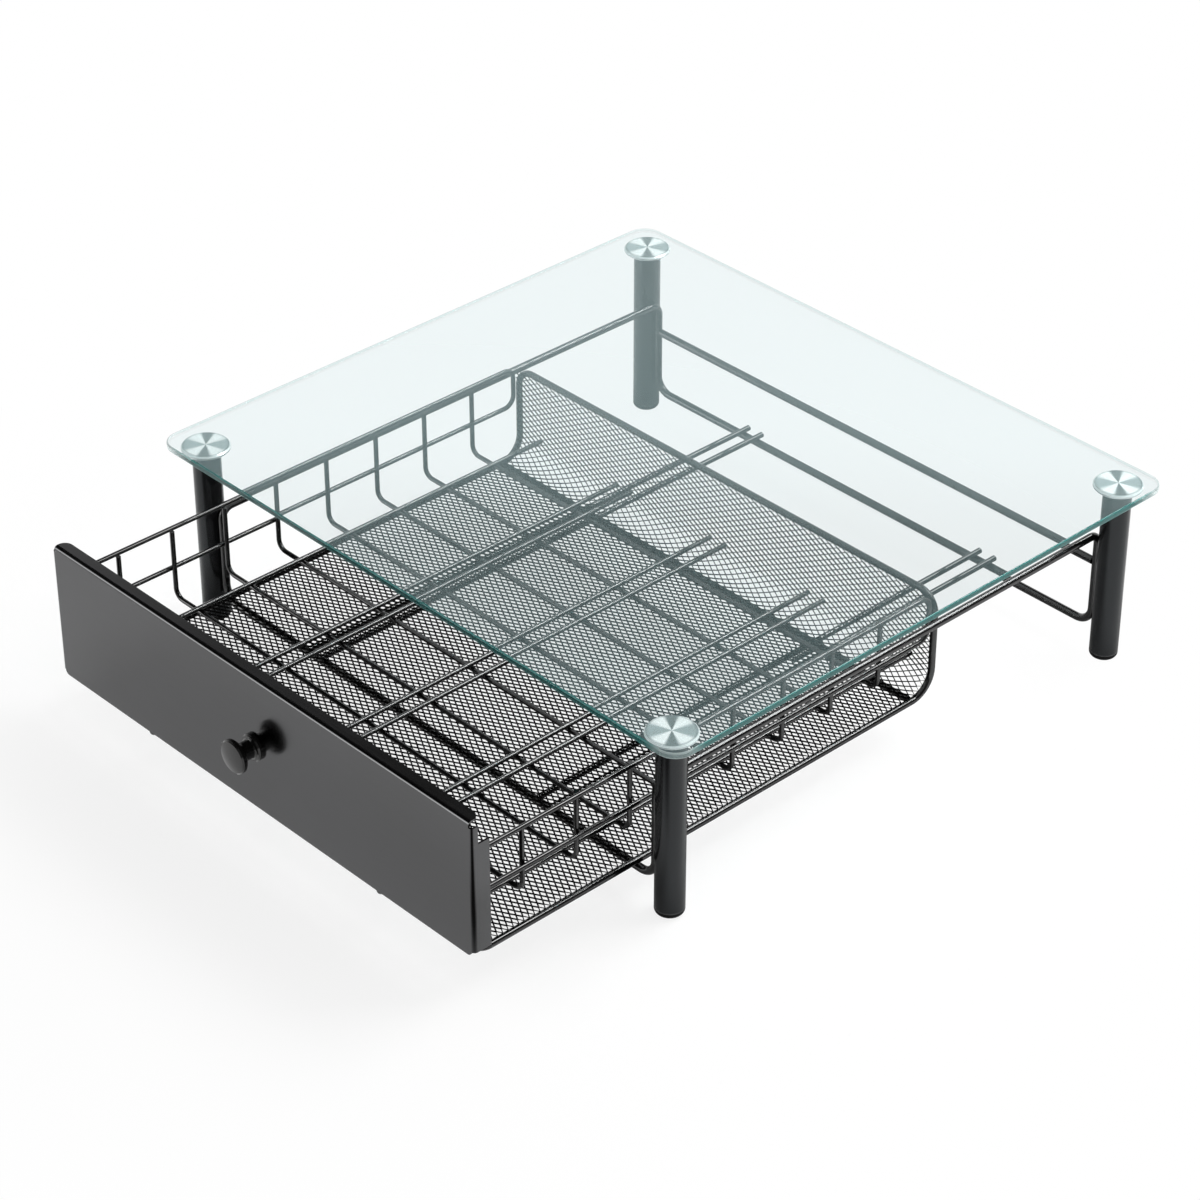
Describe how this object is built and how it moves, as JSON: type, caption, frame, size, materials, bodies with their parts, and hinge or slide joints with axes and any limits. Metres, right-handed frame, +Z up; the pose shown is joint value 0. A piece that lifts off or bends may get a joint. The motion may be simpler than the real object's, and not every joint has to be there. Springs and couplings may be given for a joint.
{
  "type": "coffee pod drawer",
  "caption": "Low glass-topped countertop stand on round legs, with a sliding wire and mesh drawer whose rails part lanes for coffee pods behind a grey metal front with a knob.",
  "frame": {"origin": "on the counter, under the middle of the whole part with the drawer open as in the picture", "axes": "+X to the right seen from the front, -Y the way the drawer opens, +Z up"},
  "size_m": [0.3554, 0.4214, 0.099],
  "materials": {
    "clear_glass": "clear float glass with polished pale green edges",
    "disc_metal": "turned aluminium with a bright bevel",
    "plated_steel": "zinc-plated fastener steel",
    "leg_black": "satin black coat on steel tube",
    "foot_black": "matt black moulded plastic",
    "wire_black": "satin black coat on drawn steel wire",
    "mesh_black": "black coat on expanded steel mesh",
    "panel_grey": "dark satin grey metal sheet",
    "knob_black": "gloss black turned metal"
  },
  "bodies": {
    "stand": {"glass_top": "clear_glass", "disc_studs": "plated_steel", "leg_inserts": "plated_steel", "disc_front_left": "disc_metal", "disc_front_right": "disc_metal", "disc_rear_left": "disc_metal", "disc_rear_right": "disc_metal", "leg_front_left": "leg_black", "leg_front_right": "leg_black", "leg_rear_left": "leg_black", "leg_rear_right": "leg_black", "foot_front_left": "foot_black", "foot_front_right": "foot_black", "foot_rear_left": "foot_black", "foot_rear_right": "foot_black", "frame_left": "wire_black", "frame_right": "wire_black", "stop_rail": "wire_black", "runner_left_outer": "wire_black", "runner_left_inner": "wire_black", "runner_right_inner": "wire_black", "runner_right_outer": "wire_black"},
    "drawer": {"front_panel": "panel_grey", "knob": "knob_black", "knob_screw": "plated_steel", "tray_rim": "wire_black", "tray_rear_bar": "wire_black", "mesh_floor": "mesh_black", "mesh_back": "mesh_black", "cross_wire_1": "wire_black", "cross_wire_2": "wire_black", "cross_wire_3": "wire_black", "cross_wire_4": "wire_black", "cross_wire_5": "wire_black", "cross_wire_6": "wire_black", "cross_wire_7": "wire_black", "cross_wire_8": "wire_black", "lane_rail_1": "wire_black", "lane_rail_2": "wire_black", "lane_rail_3": "wire_black", "lane_rail_4": "wire_black", "lane_rail_5": "wire_black", "lane_rail_6": "wire_black", "lane_rail_7": "wire_black", "lane_rail_8": "wire_black", "side_rail_left": "wire_black", "side_rail_right": "wire_black", "front_guide_left": "wire_black", "front_guide_right": "wire_black", "rear_guide_left": "wire_black", "rear_guide_right": "wire_black"}
  },
  "joints": [
    {"name": "drawer_slide", "type": "slide", "parent": "stand", "child": "drawer", "axis": [0, -1, 0], "range_m": [-0.102, 0.128]}
  ]
}
